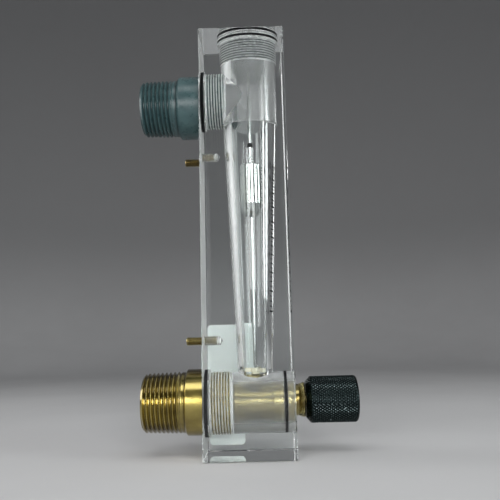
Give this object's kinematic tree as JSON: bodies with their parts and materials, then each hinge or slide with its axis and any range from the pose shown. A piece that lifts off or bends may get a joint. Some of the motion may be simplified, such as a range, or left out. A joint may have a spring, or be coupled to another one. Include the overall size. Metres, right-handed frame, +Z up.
{
  "type": "rotameter",
  "caption": "Clear acrylic block rotameter for a panel, with a steel float on a guide rod, a front valve knob and male pipe connections at the back.",
  "frame": {"origin": "centre of the acrylic block's bottom face", "axes": "+Z up along the metering bore; the front with scale and knob faces -Y; pipe connections and studs point along +Y; X runs through the block's thickness"},
  "size_m": [0.0501, 0.1175, 0.235],
  "materials": {
    "acrylic_clear": "polished clear, machined bores matt",
    "pvc_grey": "satin turned plastic",
    "brass": "turned, bright",
    "steel_polished": "polished stainless",
    "rubber_black": "smooth, slightly greasy",
    "anodised_black": "black anodised, knurled",
    "nylon_cream": "moulded nylon",
    "sticker_white": "blank white film",
    "screw_black": "black oxide"
  },
  "bodies": {
    "housing": {"body_block": "acrylic_clear", "top_plug": "pvc_grey", "top_plug_oring": "rubber_black", "outlet_fitting": "pvc_grey", "outlet_oring": "rubber_black", "inlet_fitting": "brass", "inlet_oring": "rubber_black", "valve_body": "brass", "valve_body_oring": "rubber_black", "valve_bonnet": "brass", "bonnet_oring": "rubber_black", "stem_oring_inner": "rubber_black", "stem_oring_outer": "rubber_black", "guide_rod": "steel_polished", "float_stop_ring": "rubber_black", "rod_foot": "nylon_cream", "mounting_stud_upper": "brass", "mounting_stud_lower": "brass", "side_label_upper": "sticker_white", "side_label_lower": "sticker_white"},
    "float": {"float": "steel_polished"},
    "valve_disc": {"valve_disc": "brass", "seat_washer": "rubber_black", "washer_screw": "steel_polished"},
    "valve_stem": {"valve_stem": "brass", "control_knob": "anodised_black", "knob_set_screw": "screw_black"}
  },
  "joints": [
    {"name": "float_slide", "type": "slide", "parent": "housing", "child": "float", "axis": [0, 0, 1], "range_m": [-0.084, 0.011]},
    {"name": "valve_lift", "type": "slide", "parent": "housing", "child": "valve_disc", "axis": [0, -1, 0], "range_m": [0, 0.006]},
    {"name": "knob_turn", "type": "hinge", "parent": "valve_disc", "child": "valve_stem", "pos_m": [0, 0, 0.0275], "axis": [0, -1, 0], "range_deg": [0, 1440]}
  ],
  "couplings": [
    {"joint": "knob_turn", "follows": "valve_lift", "rad_per_m": 4188.8}
  ]
}
